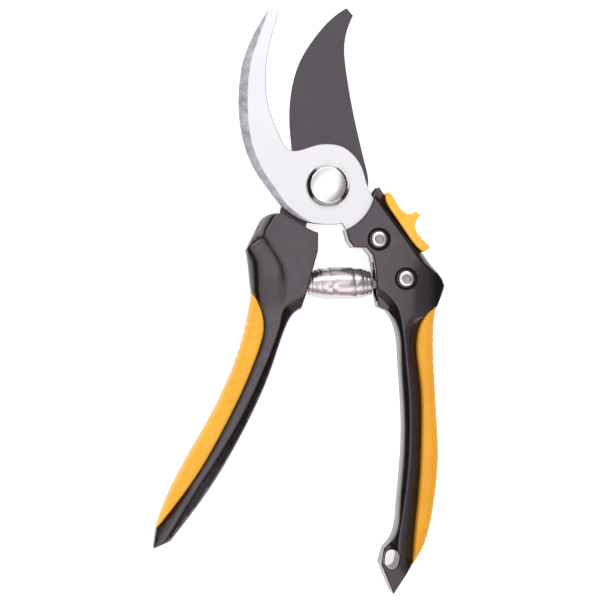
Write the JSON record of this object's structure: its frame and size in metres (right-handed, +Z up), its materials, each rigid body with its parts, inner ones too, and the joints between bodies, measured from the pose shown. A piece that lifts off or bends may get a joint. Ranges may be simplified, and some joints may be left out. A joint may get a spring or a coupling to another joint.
{
  "type": "bypass pruner",
  "caption": "One-hand bypass pruner with a hooked counter-blade, a coated cutting blade, cast handles with soft grips, a volute spring and a thumb lock.",
  "frame": {"origin": "on the pivot's axis, at the face of the nut and bolt end that the pruner lies on", "axes": "+Z up along the pivot bolt to its head, +Y from the pivot towards the jaws' tips, +X towards the handle with the thumb lock"},
  "size_m": [0.106, 0.2127, 0.0166],
  "materials": {
    "satin_steel": "satin, with a shot-blasted outer bevel",
    "coated_steel": "dark low-friction coating, satin",
    "black_casting": "glossy black lacquer on cast aluminium",
    "yellow_grip": "soft matte overmould",
    "yellow_plastic": "satin moulded plastic",
    "polished_steel": "polished",
    "plain_steel": "machined",
    "spring_steel": "tempered strip",
    "chromed_spring": "bright chromed strip",
    "bronze": "sintered"
  },
  "bodies": {
    "hook_side": {"right_handle": "black_casting", "right_grip": "yellow_grip", "hook_jaw": "satin_steel", "pivot_bolt": "polished_steel", "pivot_nut": "polished_steel", "disc_spring": "spring_steel", "thrust_washer": "polished_steel", "handle_screws": "polished_steel", "handle_nuts": "polished_steel", "right_spring_seat": "plain_steel", "detent_leaf": "spring_steel", "volute_spring": "chromed_spring"},
    "blade_side": {"cutting_blade": "coated_steel", "pivot_bushing": "bronze", "left_handle": "black_casting", "left_grip": "yellow_grip", "blade_tang_pins": "plain_steel", "left_spring_seat": "plain_steel"},
    "lock": {"thumb_lock": "yellow_plastic", "lock_catch": "plain_steel", "lock_screw": "plain_steel"}
  },
  "joints": [
    {"name": "pivot", "type": "hinge", "parent": "hook_side", "child": "blade_side", "pos_m": [0, 0, 0], "axis": [0, 0, 1], "range_deg": [0, 27], "stiffness_Nm_per_rad": 1, "springref_deg": -17.19, "deforming": ["volute_spring"]},
    {"name": "thumb_slide", "type": "slide", "parent": "hook_side", "child": "lock", "axis": [-0.5592, 0.829, 0], "range_m": [0, 0.0034]}
  ]
}
